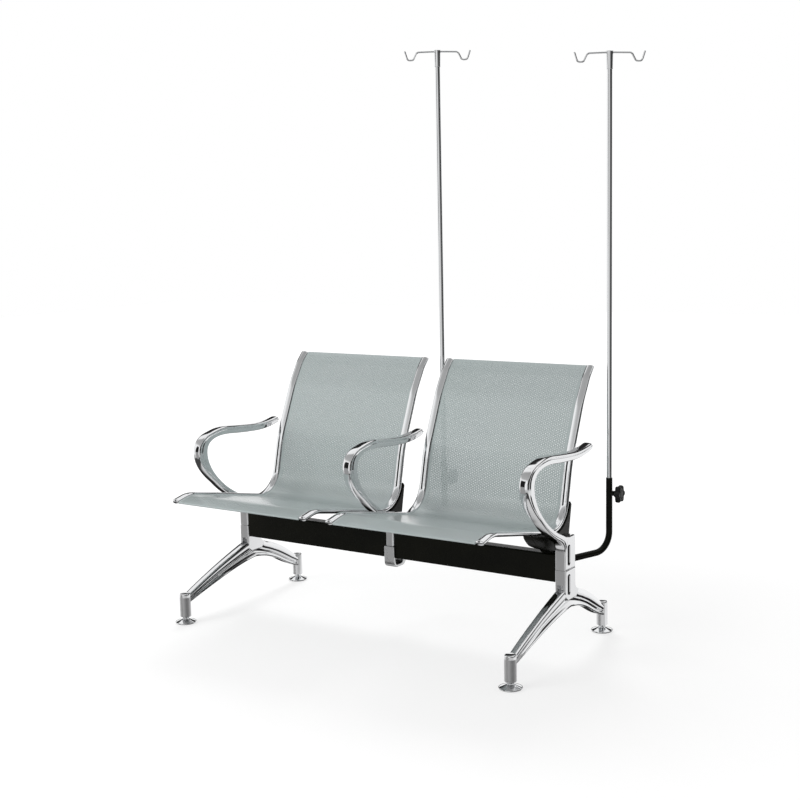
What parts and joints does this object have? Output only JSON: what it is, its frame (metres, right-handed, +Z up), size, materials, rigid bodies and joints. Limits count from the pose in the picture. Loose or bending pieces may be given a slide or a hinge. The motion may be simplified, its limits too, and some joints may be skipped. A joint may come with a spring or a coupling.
{
  "type": "infusion chair with drip poles",
  "caption": "Beam-mounted infusion bench with perforated steel seats, polished arm loops and legs, and height-adjustable drip poles clamped behind the seats.",
  "frame": {"origin": "middle of the rectangle the bench spans, at the floor", "axes": "+X along the beam to the sitter's left hand, +Y backwards, +Z up; the sitter faces -Y"},
  "size_m": [1.2638, 0.7326, 1.728],
  "materials": {
    "chrome_plate": "mirror plated",
    "polished_casting": "polished",
    "black_paint": "semi-gloss powder coat",
    "seat_paint": "silver-grey powder coat",
    "black_rubber": "matte",
    "black_plastic": "moulded satin",
    "grey_plastic": "matte",
    "zinc_screw": "zinc plated"
  },
  "bodies": {
    "frame": {"cross_beam": "black_paint", "leg_frame_left": "polished_casting", "beam_screw_left": "zinc_screw", "leg_frame_right": "polished_casting", "beam_screw_right": "zinc_screw", "armrest_left": "polished_casting", "clamp_bolt_left": "zinc_screw", "armrest_middle": "polished_casting", "clamp_bolt_middle": "zinc_screw", "armrest_right": "polished_casting", "clamp_bolt_right": "zinc_screw", "middle_strap": "polished_casting", "seat_panel_left": "seat_paint", "seat_rail_left_a": "chrome_plate", "seat_bracket_left_a": "black_paint", "bracket_screw_left_a": "zinc_screw", "seat_rail_left_b": "chrome_plate", "seat_bracket_left_b": "black_paint", "bracket_screw_left_b": "zinc_screw", "seat_panel_right": "seat_paint", "seat_rail_right_a": "chrome_plate", "seat_bracket_right_a": "black_paint", "bracket_screw_right_a": "zinc_screw", "seat_rail_right_b": "chrome_plate", "seat_bracket_right_b": "black_paint", "bracket_screw_right_b": "zinc_screw", "pole_sleeve_left": "black_paint", "sleeve_nut_left": "black_paint", "flange_screw_left_low": "zinc_screw", "flange_screw_left_high": "zinc_screw", "pole_sleeve_right": "black_paint", "sleeve_nut_right": "black_paint", "flange_screw_right_low": "zinc_screw", "flange_screw_right_high": "zinc_screw"},
    "pad_front_left": {"foot_pad_front_left": "black_rubber"},
    "foot_front_left": {"levelling_foot_front_left": "chrome_plate"},
    "pad_rear_left": {"foot_pad_rear_left": "black_rubber"},
    "foot_rear_left": {"levelling_foot_rear_left": "chrome_plate"},
    "pad_front_right": {"foot_pad_front_right": "black_rubber"},
    "foot_front_right": {"levelling_foot_front_right": "chrome_plate"},
    "pad_rear_right": {"foot_pad_rear_right": "black_rubber"},
    "foot_rear_right": {"levelling_foot_rear_right": "chrome_plate"},
    "plug_left": {"pole_plug_left": "grey_plastic"},
    "pole_left": {"drip_pole_left": "chrome_plate", "pole_cap_left": "chrome_plate", "hook_bar_left": "chrome_plate"},
    "pad_left": {"clamp_pad_left": "grey_plastic"},
    "knob_left": {"clamp_knob_left": "black_plastic"},
    "plug_right": {"pole_plug_right": "grey_plastic"},
    "pole_right": {"drip_pole_right": "chrome_plate", "pole_cap_right": "chrome_plate", "hook_bar_right": "chrome_plate"},
    "pad_right": {"clamp_pad_right": "grey_plastic"},
    "knob_right": {"clamp_knob_right": "black_plastic"}
  },
  "joints": [
    {"name": "foot_height_front_left", "type": "slide", "parent": "frame", "child": "pad_front_left", "axis": [0, 0, 1], "range_m": [-0.012, 0.003]},
    {"name": "foot_turn_front_left", "type": "hinge", "parent": "pad_front_left", "child": "foot_front_left", "pos_m": [-0.59937, -0.28913, 0], "axis": [0, 0, 1], "range_deg": [-2880, 720]},
    {"name": "foot_height_rear_left", "type": "slide", "parent": "frame", "child": "pad_rear_left", "axis": [0, 0, 1], "range_m": [-0.012, 0.003]},
    {"name": "foot_turn_rear_left", "type": "hinge", "parent": "pad_rear_left", "child": "foot_rear_left", "pos_m": [-0.59937, 0.27087, 0], "axis": [0, 0, 1], "range_deg": [-2880, 720]},
    {"name": "foot_height_front_right", "type": "slide", "parent": "frame", "child": "pad_front_right", "axis": [0, 0, 1], "range_m": [-0.012, 0.003]},
    {"name": "foot_turn_front_right", "type": "hinge", "parent": "pad_front_right", "child": "foot_front_right", "pos_m": [0.54063, -0.28913, 0], "axis": [0, 0, 1], "range_deg": [-2880, 720]},
    {"name": "foot_height_rear_right", "type": "slide", "parent": "frame", "child": "pad_rear_right", "axis": [0, 0, 1], "range_m": [-0.012, 0.003]},
    {"name": "foot_turn_rear_right", "type": "hinge", "parent": "pad_rear_right", "child": "foot_rear_right", "pos_m": [0.54063, 0.27087, 0], "axis": [0, 0, 1], "range_deg": [-2880, 720]},
    {"name": "pole_height_left", "type": "slide", "parent": "frame", "child": "plug_left", "axis": [0, 0, 1], "range_m": [-0.065, 0.02]},
    {"name": "pole_turn_left", "type": "hinge", "parent": "plug_left", "child": "pole_left", "pos_m": [-0.02337, 0.30787, 0.373], "axis": [0, 0, 1], "continuous": true},
    {"name": "clamp_travel_left", "type": "slide", "parent": "frame", "child": "pad_left", "axis": [1, 0, 0], "range_m": [0, 0.0025]},
    {"name": "knob_turn_left", "type": "hinge", "parent": "pad_left", "child": "knob_left", "pos_m": [-0.02337, 0.30787, 0.411], "axis": [1, 0, 0], "range_deg": [0, 720]},
    {"name": "pole_height_right", "type": "slide", "parent": "frame", "child": "plug_right", "axis": [0, 0, 1], "range_m": [-0.015, 0.07]},
    {"name": "pole_turn_right", "type": "hinge", "parent": "plug_right", "child": "pole_right", "pos_m": [0.54663, 0.30787, 0.323], "axis": [0, 0, 1], "continuous": true},
    {"name": "clamp_travel_right", "type": "slide", "parent": "frame", "child": "pad_right", "axis": [1, 0, 0], "range_m": [0, 0.0025]},
    {"name": "knob_turn_right", "type": "hinge", "parent": "pad_right", "child": "knob_right", "pos_m": [0.54663, 0.30787, 0.411], "axis": [1, 0, 0], "range_deg": [0, 720]}
  ],
  "couplings": [
    {"joint": "foot_turn_front_left", "follows": "foot_height_front_left", "rad_per_m": 4188.8},
    {"joint": "foot_turn_rear_left", "follows": "foot_height_rear_left", "rad_per_m": 4188.8},
    {"joint": "foot_turn_front_right", "follows": "foot_height_front_right", "rad_per_m": 4188.8},
    {"joint": "foot_turn_rear_right", "follows": "foot_height_rear_right", "rad_per_m": 4188.8},
    {"joint": "knob_turn_left", "follows": "clamp_travel_left", "rad_per_m": 5026.5},
    {"joint": "knob_turn_right", "follows": "clamp_travel_right", "rad_per_m": 5026.5}
  ]
}
